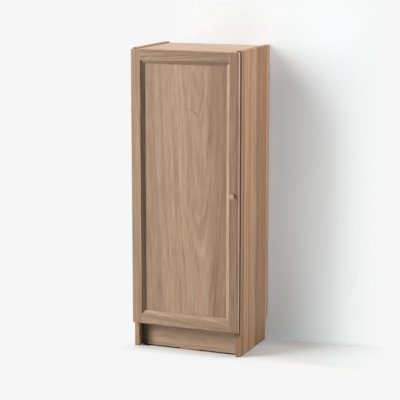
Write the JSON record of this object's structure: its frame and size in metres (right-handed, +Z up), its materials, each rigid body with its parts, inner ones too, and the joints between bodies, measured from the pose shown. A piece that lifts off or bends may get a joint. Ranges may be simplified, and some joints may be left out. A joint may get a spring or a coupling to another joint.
{
  "type": "pantry cabinet",
  "caption": "Tall, narrow solid-pine pantry cabinet with a framed panel door on concealed hinges, shelves inside and a recessed plinth.",
  "frame": {"origin": "On the floor, at the middle of the whole object's footprint, from the knob's face to the side panels' rear edges.", "axes": "+X is the cabinet's right-hand side seen from the front, -Y is the front, +Z is up."},
  "size_m": [0.4, 0.322, 1.06],
  "materials": {
    "pine_case": "stained and clear-varnished pine",
    "pine_door": "stained and clear-varnished pine, vertical grain",
    "pine_rail": "stained and clear-varnished pine, grain along the piece",
    "pine_shelf": "stained and clear-varnished pine, grain along the piece",
    "beech_dowel": "bare hardwood",
    "hardboard": "thin hardboard, smooth face inside",
    "zinc_steel": "zinc plated",
    "nickel": "nickel plated",
    "clear_pad": "soft translucent pad",
    "grey_plastic": "moulded"
  },
  "bodies": {
    "cabinet": {"left_side_panel": "pine_case", "right_side_panel": "pine_case", "top_panel": "pine_case", "bottom_panel": "pine_case", "plinth": "pine_case", "back_panel": "hardboard", "cam_bolts": "zinc_steel", "cam_locks": "zinc_steel", "carcass_dowels": "beech_dowel", "glides": "grey_plastic", "wall_bracket": "zinc_steel", "wall_bracket_screw": "zinc_steel", "upper_mounting_plate": "nickel", "lower_mounting_plate": "nickel", "mounting_plate_screws": "zinc_steel", "upper_hinge_arm": "nickel", "lower_hinge_arm": "nickel", "arm_fixing_screws": "zinc_steel", "lower_shelf_pins": "zinc_steel", "upper_shelf_pins": "zinc_steel"},
    "door": {"door_left_stile": "pine_door", "door_right_stile": "pine_door", "door_top_rail": "pine_rail", "door_bottom_rail": "pine_rail", "door_panel": "pine_door", "door_frame_dowels": "beech_dowel", "upper_hinge_cup": "nickel", "lower_hinge_cup": "nickel", "hinge_pins": "nickel", "hinge_cup_screws": "zinc_steel", "door_bumpers": "clear_pad", "knob": "pine_door", "knob_screw": "zinc_steel"},
    "lower_shelf": {"lower_shelf": "pine_shelf"},
    "upper_shelf": {"upper_shelf": "pine_shelf"}
  },
  "joints": [
    {"name": "door_hinge", "type": "hinge", "parent": "cabinet", "child": "door", "pos_m": [-0.1901, -0.13, 0.5735], "axis": [0, 0, -1], "range_deg": [0, 95]},
    {"name": "lower_shelf_lift", "type": "slide", "parent": "cabinet", "child": "lower_shelf", "axis": [0, 0, 1], "range_m": [0, 0.03]},
    {"name": "upper_shelf_lift", "type": "slide", "parent": "cabinet", "child": "upper_shelf", "axis": [0, 0, 1], "range_m": [0, 0.03]}
  ]
}
